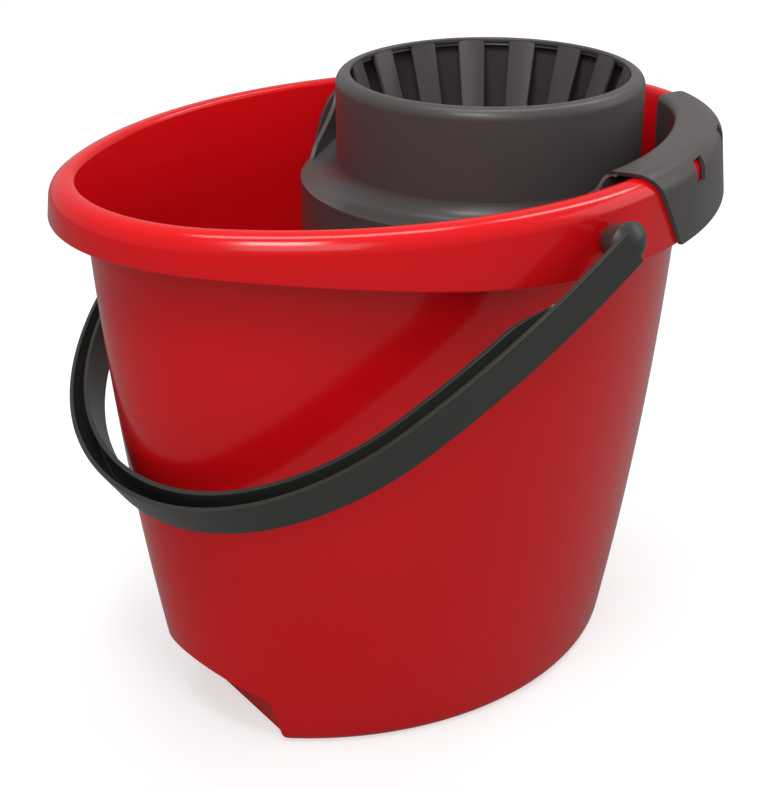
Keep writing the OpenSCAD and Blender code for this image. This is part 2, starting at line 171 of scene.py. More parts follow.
red = plastic("red_polypropylene", seen(214, 14, 21), seen(205, 11, 18), (0.13, 0.18), 0.004, 0.34)
charcoal = plastic("charcoal_polypropylene", seen(54, 56, 53), seen(47, 49, 46), (0.26, 0.38), 0.03, 0.4)
grey = plastic("grey_polypropylene", seen(76, 71, 71), seen(69, 64, 64), (0.30, 0.40), 0.03, 0.3)

# %% [markdown]
# ## The bucket
# A bucket like this is injection moulded: one wall of even thickness climbs from the foot, flares, rolls
# over into the lip and comes down again as a skirt. Its plan is an oval of four arcs. The same section
# runs all the way round, so Geometry Nodes carry the section along the oval with Curve to Mesh. The
# skirt is shallower at the grip end, and a slow step in the tree lifts its edge there.

# %% Sizes of the bucket, in metres
HALF_L, HALF_W, END_R = 0.190, 0.141, 0.107
LIP_H, WALL, FLOOR_T = 0.304, 0.0024, 0.003
FOOT_IN, WALL_IN, BOW, FOOT_R = 0.0533, 0.0205, 0.0043, 0.008
WALL_TOP, SKIRT_LOW = LIP_H - 0.039, LIP_H - 0.037
LIP_OUT_R, LIP_IN_R, LIP_OUT_S, LIP_IN_S = 0.0094, 0.0034, -0.0122, -0.0131
SKIRT_RISE, SKIRT_BEND_X = 0.018, 0.036
SKIN_IN = 0.0001  # keeps the skins just inside the solids' box
END_X = HALF_L - END_R
SIDE_R = (END_R ** 2 - END_X ** 2 - HALF_W ** 2) / (2 * (END_R - HALF_W))
SIDE_Y = SIDE_R - HALF_W
SPLIT = math.atan2(SIDE_Y, END_X)
OUT_Z, IN_Z = LIP_H - LIP_OUT_R, LIP_H - LIP_IN_R
skirt_fall = OUT_Z - SKIRT_LOW
SKIRT_LEAN = math.acos(LIP_OUT_R / math.hypot(LIP_OUT_S, skirt_fall)) - math.atan(skirt_fall / -LIP_OUT_S)
FLARE_LEAN = math.atan((WALL_IN + WALL + LIP_IN_S - LIP_IN_R) / (IN_Z - WALL_TOP))
print("side arcs", round(SIDE_R, 4), "m; skirt leans", round(math.degrees(SKIRT_LEAN), 1), "degrees")


def toward(a):
    """The flat direction at an angle in radians."""
    return Vector((math.cos(a), math.sin(a)))


def oval(s, count=64):
    """Points of the four-arc oval, offset outwards by s, anticlockwise from the middle of the +X end."""
    arcs = ((END_X, 0, END_R, -SPLIT, SPLIT), (0, -SIDE_Y, SIDE_R, SPLIT, math.pi - SPLIT),
            (-END_X, 0, END_R, math.pi - SPLIT, math.pi + SPLIT),
            (0, SIDE_Y, SIDE_R, math.pi + SPLIT, 2 * math.pi - SPLIT))
    spots = [(cx, cy, radius + s, start + (stop - start) * i / count)
             for cx, cy, radius, start, stop in arcs for i in range(count)]
    return [(cx + r * math.cos(a), cy + r * math.sin(a)) for cx, cy, r, a in spots]


def circle(radius, count):
    """Points of a circle, anticlockwise from the +X direction."""
    turns = [2 * math.pi / count * i for i in range(count)]
    return [(radius * math.cos(a), radius * math.sin(a)) for a in turns]


def arc(cx, cz, r, start, stop, count=8):
    """Points of an arc in a section, its angles in degrees."""
    turns = [math.radians(start + (stop - start) * i / count) for i in range(count + 1)]
    return [(cx + r * math.cos(a), cz + r * math.sin(a)) for a in turns]


def wall_s(z):
    """Offset of the wall's outer face from the lip's outer edge at height z."""
    u = z / WALL_TOP
    return -FOOT_IN + (FOOT_IN - WALL_IN) * u + 4 * BOW * u * (1 - u)


# %% Section of the bucket, from the outside of the foot over the lip to the inside of the floor
WALL_STEPS = 24
foot_lean = math.atan((FOOT_IN - WALL_IN + 4 * BOW) / WALL_TOP)
foot_turn = math.degrees(foot_lean)
foot_z = FOOT_R * (1 - math.sin(foot_lean))
foot_s = wall_s(foot_z) - FOOT_R * math.cos(foot_lean)
bed_r = FOOT_R - WALL
bed_z = FLOOR_T + bed_r
bed_top = bed_z - bed_r * math.sin(foot_lean)
lean, flare = math.degrees(SKIRT_LEAN), math.degrees(FLARE_LEAN)
climb = [foot_z + (WALL_TOP - foot_z) * i / WALL_STEPS for i in range(1, WALL_STEPS + 1)]
descent = [WALL_TOP + (bed_top - WALL_TOP) * i / WALL_STEPS for i in range(WALL_STEPS)]
edge_r = WALL / 2 * 0.98
outer_wall = arc(foot_s, FOOT_R, FOOT_R, -90, -foot_turn) + [(wall_s(z), z) for z in climb]
lip_under = (arc(LIP_IN_S, IN_Z, LIP_IN_R - WALL, 180 - flare, 90, 4)
             + arc(LIP_OUT_S, OUT_Z, LIP_OUT_R - WALL, 90, lean, 10))
skirt_edge = arc(-edge_r, SKIRT_LOW + edge_r, edge_r, -180, 0)
lip_over = arc(LIP_OUT_S, OUT_Z, LIP_OUT_R, lean, 90, 16) + arc(LIP_IN_S, IN_Z, LIP_IN_R, 90, 180 - flare)
inner_wall = [(wall_s(z) - WALL, z) for z in descent] + arc(foot_s, bed_z, bed_r, -foot_turn, -90)
parts = (outer_wall, lip_under, skirt_edge, lip_over, inner_wall)
bucket_section = [p for part in parts for p in part]
moves = [float(part is skirt_edge) for part in parts for _ in part]
print("section of", len(bucket_section), "points, skirt down to", round(SKIRT_LOW, 4))


# %% Helpers for pieces
def sheet_of(name, points, edges=(), faces=()):
    """An object made of points, edges and faces, linked to the scene."""
    mesh = bpy.data.meshes.new(name)
    mesh.from_pydata(points, edges, faces)
    piece = bpy.data.objects.new(name, mesh)
    bpy.context.collection.objects.link(piece)
    return piece


def prism(name, low, high):
    """A block between two outlines of as many points."""
    n = len(low)
    sides = [(i, (i + 1) % n, n + (i + 1) % n, n + i) for i in range(n)]
    return tidy(sheet_of(name, low + high, faces=[list(range(n)), list(range(n, 2 * n))] + sides), 30)


def turn(points, faces, outline, place, count=128, capped=False):
    """Adds a turned piece. Its outline of (radius, height) closes on itself, or has flat ends if capped."""
    start, rows = len(points), len(outline)
    for radius, height in outline:
        points.extend(place @ Vector((x, y, height)) for x, y in circle(radius, count))
    for k in range(rows - capped):
        row, above = start + k * count, start + (k + 1) % rows * count
        faces += [(row + i, row + (i + 1) % count, above + (i + 1) % count, above + i) for i in range(count)]
    if capped:
        faces += [range(start, start + count), range(len(points) - count, len(points))]


def loft(points, faces, rows):
    """Adds a bar that runs through rows of as many points, with both ends closed."""
    start, n = len(points), len(rows[0])
    for row in rows:
        points.extend(row)
    for at in range(start, start + n * (len(rows) - 1), n):
        faces += [(at + j, at + (j + 1) % n, at + n + (j + 1) % n, at + n + j) for j in range(n)]
    faces += [range(start, start + n), range(len(points) - n, len(points))]


def tidy(piece, smooth=35, merge=1e-5, fill=False):
    """Merges doubles, closes open rings if asked, turns faces outwards and smooths the soft edges."""
    work = bmesh.new()
    work.from_mesh(piece.data)
    bmesh.ops.remove_doubles(work, verts=work.verts, dist=merge)
    if fill:
        bmesh.ops.holes_fill(work, edges=[e for e in work.edges if e.is_boundary], sides=0)
    bmesh.ops.recalc_face_normals(work, faces=work.faces)
    work.to_mesh(piece.data)
    work.free()
    for face in piece.data.polygons:
        face.use_smooth = True
    piece.data.set_sharp_from_angle(angle=math.radians(smooth))
    return piece


def combine(piece, other, how):
    """Applies one boolean and leaves a plain mesh."""
    cut = piece.modifiers.new(how.lower(), "BOOLEAN")
    cut.object, cut.operation, cut.solver = other, how, "EXACT"
    graph = bpy.context.evaluated_depsgraph_get()
    piece.data = bpy.data.meshes.new_from_object(piece.evaluated_get(graph), depsgraph=graph)
    piece.modifiers.remove(cut)
    bpy.data.objects.remove(other)


def round_over(piece, width, segments, least):
    """Rounds the edges that are sharper than the least angle, in degrees."""
    bevel = piece.modifiers.new("round_over", "BEVEL")
    bevel.width, bevel.segments, bevel.angle_limit = width, segments, math.radians(least)


def install(piece, body, slot, *solids):
    """Rides a piece on its body and lets it stand for its solids; the slot is not used."""
    for solid in solids:
        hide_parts(solid)
    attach(piece, body)
    print(piece.name, len(piece.data.vertices), "points,", len(piece.data.polygons), "faces, on", body)


# %% Helpers for geometry trees
def new_tree(name, **sizes):
    """A geometry tree with a geometry in and out and one named input for each size."""
    tree = bpy.data.node_groups.new(name, "GeometryNodeTree")
    for label, kind in {"Geometry": "Geometry", **sizes}.items():
        tree.interface.new_socket(name=label, in_out="INPUT", socket_type="NodeSocket" + kind)
    tree.interface.new_socket(name="Geometry", in_out="OUTPUT", socket_type="NodeSocketGeometry")
    return tree, step(tree, "NodeGroupInput", -1400, 0).outputs


def finish_tree(tree, geometry, material):
    """Ends a tree in Realize Instances and Set Material."""
    real = step(tree, "GeometryNodeRealizeInstances", 1200, 0, {0: geometry})
    coat = step(tree, "GeometryNodeSetMaterial", 1400, 0, {0: real.outputs[0], "Material": material})
    step(tree, "NodeGroupOutput", 1600, 0, {0: coat.outputs[0]})
    return tree


def grow(piece, tree, **values):
    """Runs a tree on an object, and leaves its result as the object's plain mesh."""
    grower = piece.modifiers.new(tree.name, "NODES")
    grower.node_group = tree
    for item in tree.interface.items_tree:
        if item.in_out == "INPUT" and item.name in values:
            grower[item.identifier] = values[item.name]
    piece.update_tag()
    graph = bpy.context.evaluated_depsgraph_get()
    grown = bpy.data.meshes.new_from_object(piece.evaluated_get(graph), depsgraph=graph)
    piece.modifiers.remove(grower)
    piece.data = grown


# %% The tree that carries a section round the oval
def round_the_oval():
    """Sweeps a section along a track. Points marked with a depth rise towards the grip end."""
    tree, given = new_tree("section_round_the_oval", Finish="Material", Rise="Float", BendX="Float",
                           EndX="Float", Lean="Float")

    def mark(x, y, name, kind):
        return step(tree, "GeometryNodeInputNamedAttribute", x, y, {"Name": name}, data_type=kind).outputs[0]

    loops = step(tree, "GeometryNodeSeparateGeometry", -1000, 0,
                 {0: given["Geometry"], 1: mark(-1200, -300, "section", "BOOLEAN")}, domain="POINT")
    profile = step(tree, "GeometryNodeMeshToCurve", -800, 200, {0: loops.outputs["Selection"]})
    track = step(tree, "GeometryNodeMeshToCurve", -800, -100, {0: loops.outputs["Inverted"]})
    bare = step(tree, "GeometryNodeRemoveAttribute", -700, -100, {0: track.outputs[0], "Name": "depth"})
    upright = step(tree, "GeometryNodeSetCurveNormal", -600, -100, {0: bare.outputs[0]}, mode="Z_UP")
    normal = step(tree, "GeometryNodeInputNormal", -600, -350)
    kept = step(tree, "GeometryNodeStoreNamedAttribute", -400, -100,
                {0: upright.outputs[0], "Name": "outward", "Value": normal.outputs[0]},
                data_type="FLOAT_VECTOR")
    shell = step(tree, "GeometryNodeCurveToMesh", -200, 0, {0: kept.outputs[0], 1: profile.outputs[0]})
    place = step(tree, "GeometryNodeInputPosition", -400, -500)
    apart = step(tree, "ShaderNodeSeparateXYZ", -200, -500, {0: place.outputs[0]})
    slope = step(tree, "ShaderNodeMapRange", 0, -500,
                 {"Value": apart.outputs[0], "From Min": given["BendX"], "From Max": given["EndX"],
                  "To Max": given["Rise"]}, interpolation_type="SMOOTHSTEP")
    lift = step(tree, "ShaderNodeMath", 200, -500,
                {0: slope.outputs[0], 1: mark(0, -800, "depth", "FLOAT")}, operation="MULTIPLY")
    inward = step(tree, "ShaderNodeMath", 400, -600, {0: lift.outputs[0], 1: given["Lean"]},
                  operation="MULTIPLY")
    back_in = step(tree, "ShaderNodeVectorMath", 600, -700,
                   {0: mark(200, -800, "outward", "FLOAT_VECTOR"), "Scale": inward.outputs[0]},
                   operation="SCALE")
    straight_up = step(tree, "ShaderNodeCombineXYZ", 600, -500, {2: lift.outputs[0]})
    shift = step(tree, "ShaderNodeVectorMath", 800, -500,
                 {0: straight_up.outputs[0], 1: back_in.outputs[0]}, operation="SUBTRACT")
    moved = step(tree, "GeometryNodeSetPosition", 1000, 0, {0: shell.outputs[0], "Offset": shift.outputs[0]})
    return finish_tree(tree, moved.outputs[0], given["Finish"])


SWEEP = round_the_oval()


def swept(name, outline, finish, depths=None, rise=0.0):
    """Carries an open outline of (offset, height) round the oval."""
    ring = oval(-SKIN_IN)
    n, m = len(ring), len(outline)
    points = [(x, y, 0.0) for x, y in ring] + [(s, -z, 0.0) for s, z in outline]
    edges = [(i, (i + 1) % n) for i in range(n)] + [(n + i, n + i + 1) for i in range(m - 1)]
    piece = sheet_of(name, points, edges)
    marks = piece.data.attributes
    marks.new("section", "BOOLEAN", "POINT").data.foreach_set("value", [False] * n + [True] * m)
    marks.new("depth", "FLOAT", "POINT").data.foreach_set("value", [0.0] * n + (depths or [0.0] * m))
    grow(piece, SWEEP, Finish=finish, Rise=rise, BendX=SKIRT_BEND_X, EndX=-HALF_L, Lean=math.tan(SKIRT_LEAN))
    return piece


bucket = tidy(swept("red_bucket", bucket_section, red, moves, SKIRT_RISE), fill=True)
print("bucket", len(bucket.data.polygons), "faces")

# %% [markdown]
# ### Tipping grip
# Under the end away from the wringer the foot is cut back into an arch, where a hand takes hold to tip
# the bucket. A shallow vault closes the cut on the inside. Boolean modifiers do both: the vault is
# joined on, and then the room for the fingers is taken away.

# %% Vault and cut
GRIP_HALF_W, GRIP_H, GRIP_ARCH_R, GRIP_BACK_X = 0.047, 0.049, 0.066, 0.107
BEYOND = -0.2  # past the end of the bucket


def arch_prism(name, grown, front, low):
    """The arch over the grip recess, grown on every side, from beyond the bucket to its front along X."""
    half, radius = GRIP_HALF_W + grown, GRIP_ARCH_R + grown
    top = math.degrees(math.acos(half / radius))
    outline = [(half, low)] + arc(0, GRIP_H - GRIP_ARCH_R, radius, top, 180 - top, 32) + [(-half, low)]
    return prism(name, [(BEYOND, y, z) for y, z in outline], [(front, y, z) for y, z in outline])


body = tidy(swept("outer_body", [(s - SKIN_IN, z) for s, z in outer_wall], red), fill=True)
vault = arch_prism("vault", WALL, -GRIP_BACK_X + WALL, 0.0005)
combine(vault, body, "INTERSECT")
combine(bucket, vault, "UNION")
combine(bucket, arch_prism("finger_room", 0.0, -GRIP_BACK_X, -0.05), "DIFFERENCE")
tidy(bucket, 32)
install(bucket, "bucket", "bucket", "bucket")

# %% [markdown]
# ## The bail handle
# The handle is a channel, open upwards, bent into a loop of three arcs on each side. Near its pivots the
# channel gives way to a solid stretch with a sloping top, and a domed boss ends it. The section changes
# along the way, so the rows of points are laid out station by station instead of being swept.

# %% Sizes of the handle
PIVOT_X, PIVOT_DROP, GRIP_OUT, ARM_OUT = 0.0188, 0.0188, 0.0193, 0.0108
PIVOT = Vector((PIVOT_X, 0.0, LIP_H - PIVOT_DROP))
TILT, TIP_A, ARM_A = math.radians(35), 16, 74
REACH, ARM_Y, TIP_R = HALF_L + PIVOT_X + GRIP_OUT, HALF_W + ARM_OUT, 0.150
BAIL_W, BAIL_H, BAIL_T, DRAFT, EDGE, NICK, HAIR = 0.0116, 0.0215, 0.0024, 0.002, 0.0025, 0.001, 0.0002
PAD_Y, BOSS_R, TAPER, DOME = HALF_W + 0.0005, 0.0116, 0.004, 0.006
PIN_R, PIN_L, PIN_EDGE = 0.005, 0.015, 0.0006
GROOVE_FADES, GROOVE_FADE = 0.070, 0.034  # where the groove starts to fill, and over what length
tip_way, arm_way = toward(math.radians(TIP_A)), toward(math.radians(ARM_A))
solve = Matrix(((arm_way.x - tip_way.x, -arm_way.x), (arm_way.y - tip_way.y, 1 - arm_way.y))).inverted()
mid_r, arm_r = solve @ Vector((TIP_R * (1 - tip_way.x) - REACH, ARM_Y - TIP_R * tip_way.y))
tip_c = Vector((REACH - TIP_R, 0))
mid_c = tip_c + (TIP_R - mid_r) * tip_way
arm_c = mid_c + (mid_r - arm_r) * arm_way
print("arcs of the loop", [round(r, 4) for r in (TIP_R, mid_r, arm_r)])


def bail_section(solid):
    """Outline of the channel; solid runs from 0, the open channel, to 1, the ridge."""
    w, h = BAIL_W / 2, BAIL_H / 2
    low = h - BAIL_W + BAIL_T
    outer = [(DRAFT - w, EDGE - h), (DRAFT + EDGE - w, -h), (w - EDGE, -h), (w, EDGE - h), (w, h),
             (w - BAIL_T, h)]
    groove = [(w - BAIL_T, BAIL_T + NICK - h), (w - BAIL_T - NICK, BAIL_T - h),
              (BAIL_T + DRAFT - w, EDGE + BAIL_T - h), (BAIL_T - w, h), (-w, h)]
    ridge = [(w - BAIL_T - HAIR, h - HAIR), (w - BAIL_T - NICK, h - NICK),
             (BAIL_T + DRAFT - w, low + BAIL_T + DRAFT), (BAIL_T - w, low + BAIL_T), (-w, low)]
    return outer + [tuple(p + (q - p) * solid for p, q in zip(a, b)) for a, b in zip(groove, ridge)]


def bail_stations():
    """Place, outward direction and solidity at each station from the middle of the grip to a pivot."""
    arcs = ((tip_c, TIP_R, 0, TIP_A, 14), (mid_c, mid_r, TIP_A, ARM_A, 40), (arm_c, arm_r, ARM_A, 90, 60))
    for centre, radius, start, stop, count in arcs:
        for i in range(count + (stop == 90)):
            out = toward(math.radians(start + (stop - start) * i / count))
            place = centre + radius * out
            k = min(1.0, max(0.0, (GROOVE_FADES - place.x) / GROOVE_FADE))
            yield place, out, k * k * (3 - 2 * k)


# %% Build the handle
half = list(bail_stations())
stations = [(Vector((p.x, -p.y)), Vector((o.x, -o.y)), k) for p, o, k in reversed(half[1:])] + half
swing = Matrix.Translation(PIVOT) @ Matrix.Rotation(math.pi, 4, "Z") @ Matrix.Rotation(TILT, 4, "Y")
points, faces = [], []
loft(points, faces, [[swing @ Vector((*(place + out * u), w)) for u, w in bail_section(solid)]
                     for place, out, solid in stations])
dome_r = (BOSS_R ** 2 + DOME ** 2) / (2 * DOME)
dome_rise = math.degrees(math.asin(BOSS_R / dome_r))
boss = [(PIN_R - PIN_EDGE, PAD_Y - PIN_L), (PIN_R, PAD_Y - PIN_L + PIN_EDGE), (PIN_R, PAD_Y),
        (BOSS_R - TAPER, PAD_Y), (BOSS_R - 0.0004, ARM_Y - 0.001)]
boss += arc(0, ARM_Y + DOME - dome_r, dome_r, 90 - dome_rise, 89, 14)
for side in (1, -1):
    sideways = Matrix.Rotation(-side * math.pi / 2, 4, "X")
    turn(points, faces, boss, Matrix.Translation(PIVOT) @ sideways, 64, capped=True)
bail = sheet_of("bail", points, faces=faces)
bail.data.materials.append(charcoal)
tidy(bail, 40)
round_over(bail, 0.0007, 3, 24)
install(bail, "handle", "handle", "bail_handle")

# %% [markdown]
# ## The wringer's collar, deck and drum
# The wringer hangs in the bucket. Its collar is a turned piece, rounded at the mouth. A deck runs from
# the collar's foot, where it starts with a hollow round, to a low drum, which faces the grip end. The
# drum's sides climb as ears to the wings. The deck and drum are laid out ray by ray, because their outer
# edge changes from a circle to a straight side and then to the oval.

# %% Sizes of the wringer
WRINGER_X, COLLAR_R, COLLAR_TOP, WRINGER_T = HALF_L - 0.1313, 0.0816, LIP_H + 0.027, 0.0024
MOUTH_ROUND, RING_W, RING_R, RING_T = 0.0058, 0.0078, 0.0009, 0.0022
DECK_Z, DRUM_R, DRUM_H, SIDE_A = LIP_H - 0.029, 0.101, 0.038, math.radians(130)
DECK_LOW = DECK_Z - WRINGER_T
DECK_ROOT, DECK_ROUND, DECK_SINK, DECK_PROUD = 0.001, 0.011, 0.0002, 0.00015
DRUM_UNDER, BREAK, RAYS, RAY_STEP, RAY_END = 0.0002, 0.0004, 240, 0.0002, 0.2
SKIRT_CLEAR = 0.0012  # between the bucket's wall and the wings' inner skirt
SKIRT_S = -WALL_IN - WALL - SKIRT_CLEAR
WING_T, WING_GAP, WING_R = 0.0022, 0.0004, 0.004
WELL_HALF_W = 0.046
EAR_RISE = ((0, 0), (0.007, 0.006), (0.020, 0.011), (0.027, 0.014), (0.036, 0.019), (0.046, 0.029))
centre = Vector((WRINGER_X, 0))
on_axis = Matrix.Translation((WRINGER_X, 0, 0))
mouth_r = COLLAR_R - RING_W
side_out = toward(SIDE_A)
side_way = Vector((side_out.y, -side_out.x))
side_start = centre + DRUM_R * side_out
print("mouth", round(2000 * mouth_r, 1), "mm across, drum", round(2000 * DRUM_R, 1), "mm across")


def offset_of(place):
    """Offset of a place from the lip's outer edge, negative inside."""
    x, y = abs(place.x), abs(place.y)
    if math.atan2(y, x - END_X) < SPLIT:
        return math.hypot(x - END_X, y) - END_R
    return math.hypot(x, y + SIDE_Y) - SIDE_R


def in_wing(place):
    """Whether a place has reached the middle of the wings' inner skirt."""
    return offset_of(place) > SKIRT_S - WING_T / 2


def ear_height(x):
    """How far the drum's side stands above the deck at a place along X."""
    along = x - side_start.x
    for (x0, z0), (x1, z1) in zip(EAR_RISE, EAR_RISE[1:]):
        if along < x1:
            return z0 + (z1 - z0) * max(0.0, along - x0) / (x1 - x0)
    return EAR_RISE[-1][1]


def deck_reach(a):
    """Distance from the collar's axis to the deck's edge in one direction."""
    if min(a, 2 * math.pi - a) >= SIDE_A:
        return DRUM_R + DECK_PROUD
    reach = COLLAR_R
    while reach < RAY_END:
        place = centre + toward(a) * reach
        past_side = (Vector((place.x, abs(place.y))) - side_start).dot(side_out) > -WRINGER_T / 2
        if in_wing(place) or past_side:
            break
        reach += RAY_STEP
    return reach - RAY_STEP


# %% Collar
round_at = (COLLAR_R - MOUTH_ROUND, COLLAR_TOP - MOUTH_ROUND)
points, faces = [], []
collar_foot = [(COLLAR_R - WRINGER_T, DECK_LOW), (COLLAR_R - BREAK, DECK_LOW), (COLLAR_R, DECK_LOW + BREAK)]
turn(points, faces, collar_foot
     + arc(*round_at, MOUTH_ROUND, 0, 90, 18) + arc(mouth_r + RING_R, COLLAR_TOP - RING_R, RING_R, 90, 180, 5)
     + [(mouth_r, COLLAR_TOP - RING_T)] + arc(*round_at, MOUTH_ROUND - WRINGER_T, 90, 0), on_axis)

# %% Drum and ears
EAR_STEPS, DRUM_STEPS = 24, 40
ear_end = next(t / 10000 for t in range(2000) if in_wing(side_start + side_way * (t / 10000)))
path = [(side_start + side_way * (ear_end * (1 - i / EAR_STEPS)), side_out) for i in range(EAR_STEPS)]
path += [(centre + DRUM_R * toward(a), toward(a))
         for a in (SIDE_A + (math.pi - SIDE_A) * i / DRUM_STEPS for i in range(DRUM_STEPS + 1))]
path += [(Vector((p.x, -p.y)), Vector((o.x, -o.y))) for p, o in reversed(path[:-1])]
rows = []
for place, out in path:
    low, high, inner = DECK_Z - DRUM_H, DECK_Z - DRUM_UNDER + ear_height(place.x), place - out * WRINGER_T
    corners = ((place, low), (place, high), (inner, high), (inner, low))
    rows.append([Vector((*flat, z)) for flat, z in corners])
loft(points, faces, rows)
print("drum of", len(path), "stations, each ear", round(1000 * ear_end, 1), "mm long")

# %% Deck
well_a = math.asin(WELL_HALF_W / (COLLAR_R - DECK_ROOT))
foot_round = arc(COLLAR_R + DECK_ROUND - DECK_SINK, DECK_Z + DECK_ROUND, DECK_ROUND, 180, 270, 7)
rows = []
for i in range(RAYS + 1):
    a = well_a + (2 * math.pi - 2 * well_a) * i / RAYS
    reach = deck_reach(a)
    outline = [(COLLAR_R - DECK_ROOT, DECK_LOW)] + foot_round + [(reach, DECK_Z), (reach, DECK_LOW)]
    rows.append([Vector((*(centre + toward(a) * r), z)) for r, z in outline])
loft(points, faces, rows)
collar = sheet_of("collar_and_drum", points, faces=faces)
collar.data.materials.append(grey)
tidy(collar, 34, merge=1e-6)
round_over(collar, 0.0009, 3, 40)
install(collar, "wringer", "wringer", "wringer_collar")

# %% [markdown]
# ## The wings over the lip
# Two wings carry the wringer: each is a channel that straddles the lip, with slots through it and an end
# cut back on a slant. Their section follows the same oval as the bucket, so the same tree carries it round,
# and then planes and booleans cut the ends, the slots and the sweep of the inner skirt.

# %% Sections of a wing
WING_END_X, SLANT, END_LEAN = HALF_L - 0.1365, math.radians(31), math.radians(27.4)
POUR_HALF_W, POUR_FLARE = 0.024, math.radians(3)
SLOT_W, SLOT_H, SLOT_DROP, SLOT_IN, SLOT_OUT = 0.012, 0.012, 0.001, 0.001, 0.012
SLOTS_AT = (63.5, 48.0)  # degrees round the middle of the side arc
SKIRT_HEEL, FAR_DOWN = 0.003, -0.3  # the heel's height, and a level well below the wings
SKIRT_EDGE = ((-0.0315, FAR_DOWN), (-0.0315, -0.034), (-0.0275, -0.0195), (-0.0225, -0.009),
              (-0.0185, -0.0046), (-0.0145, -0.001), (-0.0085, 0.0015), (-0.006, 0.004), (0.006, 0.004),
              (0.006, FAR_DOWN))
wing_top = LIP_H + WING_GAP + WING_T
crown = (SKIRT_S - WING_T + WING_R, wing_top - WING_R)
foot_at = WALL_TOP - SKIRT_HEEL
foot_off = wall_s(foot_at) - WALL - SKIRT_CLEAR
heel = [(SKIRT_S - WING_T, WALL_TOP), (foot_off - WING_T, foot_at), (foot_off, foot_at), (SKIRT_S, WALL_TOP)]
inner_side = arc(*crown, WING_R, 90, 180, 10) + heel + arc(*crown, WING_R - WING_T, 180, 90, 6)
over_lip = LIP_OUT_R + WING_GAP
wing_outline = ([(WING_GAP, SKIRT_LOW), (WING_GAP + WING_T, SKIRT_LOW)]
                + arc(LIP_OUT_S, OUT_Z, over_lip + WING_T, lean, 90, 18) + inner_side
                + arc(LIP_OUT_S, OUT_Z, over_lip, 90, lean, 14))
skirt_outline = [(crown[0] + WING_T, wing_top)] + inner_side + [(crown[0] + WING_T, wing_top - WING_T)]
print("wing section of", len(wing_outline), "points, skirt of", len(skirt_outline))


def closed_ring(name, outline):
    """Carries a closed outline round the oval."""
    return tidy(swept(name, outline + outline[:1], grey), 30, merge=1e-7)


def everything(work):
    """All the parts of a mesh in work."""
    return work.verts[:] + work.edges[:] + work.faces[:]


def keep_side(piece, place, normal):
    """Cuts a piece with a plane, keeps the side the normal points to and closes the cut."""
    work = bmesh.new()
    work.from_mesh(piece.data)
    bmesh.ops.bisect_plane(work, geom=everything(work), plane_co=place, plane_no=normal, clear_inner=True)
    bmesh.ops.holes_fill(work, edges=[e for e in work.edges if e.is_boundary], sides=0)
    work.to_mesh(piece.data)
    work.free()


def mirror_twin(piece):
    """Adds the piece's mirror image across the long middle."""
    work = bmesh.new()
    work.from_mesh(piece.data)
    twin = bmesh.ops.duplicate(work, geom=everything(work))["geom"]
    for v in twin:
        if isinstance(v, bmesh.types.BMVert):
            v.co.y = -v.co.y
    bmesh.ops.reverse_faces(work, faces=[f for f in twin if isinstance(f, bmesh.types.BMFace)])
    work.to_mesh(piece.data)
    work.free()


def block(name, outline, low, high, place):
    """A prism: the outline in its X and Y, from low to high along Z, put in place by a matrix."""
    return prism(name, *([place @ Vector((x, y, z)) for x, y in outline] for z in (low, high)))


# %% One wing on the far side, and its mirror image
wing = closed_ring("wings", wing_outline)
end_turn = Matrix.Rotation(-SLANT, 3, "Z") @ Matrix.Rotation(-END_LEAN, 3, "Y")
keep_side(wing, (WING_END_X, HALF_W + LIP_OUT_S, LIP_H), end_turn @ Vector((1, 0, 0)))
keep_side(wing, (HALF_L + SKIRT_S, POUR_HALF_W, 0), (-math.sin(POUR_FLARE), math.cos(POUR_FLARE), 0))
tidy(wing, 30)
slot_from, slot_to, slot_half = SIDE_R + LIP_OUT_S + SLOT_IN, SIDE_R + SLOT_OUT, SLOT_W / 2
slot_plan = [(slot_from, -slot_half), (slot_to, -slot_half), (slot_to, slot_half), (slot_from, slot_half)]
slot_top = LIP_H - SLOT_DROP
for angle in SLOTS_AT:
    place = Matrix.Translation((0, -SIDE_Y, 0)) @ Matrix.Rotation(math.radians(angle), 4, "Z")
    combine(wing, block("slot", slot_plan, slot_top - SLOT_H, slot_top, place), "DIFFERENCE")
skirt = closed_ring("skirt", skirt_outline)
front = Matrix.Translation((WING_END_X, 0, LIP_H)) @ Matrix.Rotation(math.pi / 2, 4, "X")
combine(skirt, block("keep", SKIRT_EDGE, -0.2, 0.0, front), "INTERSECT")
combine(wing, skirt, "UNION")
mirror_twin(wing)
tidy(wing, 34, merge=2e-6)
round_over(wing, 0.0005, 2, 40)
install(wing, "wringer", "wringer")

# %% [markdown]
# ## The slatted cone
# A mop is pressed into this cone and the water runs out between its slats. The slats are all alike, so
# one slat is made as a rounded bar that narrows downwards, and Geometry Nodes set it round the axis. A
# thin ring at the top and a turned cup with drain holes at the foot join them.

# %% Ring and cup of the cone
SLATS, SLAT_TURN, SLAT_SHARE, SLAT_T, SLAT_ROUND = 16, math.radians(14.25), 0.53, 0.0026, 0.0008
TOP_DROP, SEAT_DROP, CONE_H, CUP_H, CUP_ROUND = 0.0016, 0.0032, 0.108, 0.020, 0.003
DRAINS, DRAIN_R, DRAIN_AT, PIP, CONE_CLEAR, CUP_R = 6, 0.005, 0.0209, 0.0004, 0.0002, 0.0348
TOP_Z, CONE_LOW = COLLAR_TOP - TOP_DROP, COLLAR_TOP - SEAT_DROP - CONE_H
RING_SECTION = ((0.0021, 0.0026), (0.0045, 0.0040), (0.0040, 0.0056), (0.0015, 0.0042))  # out, and down
top_r, low_r = mouth_r - CONE_CLEAR, CUP_R
cup_top = CONE_LOW + CUP_H
cup_r = low_r + (top_r - low_r) / (TOP_Z - CONE_LOW) * CUP_H
corner = (low_r - CUP_ROUND, CONE_LOW + CUP_ROUND)
points, faces = [], []
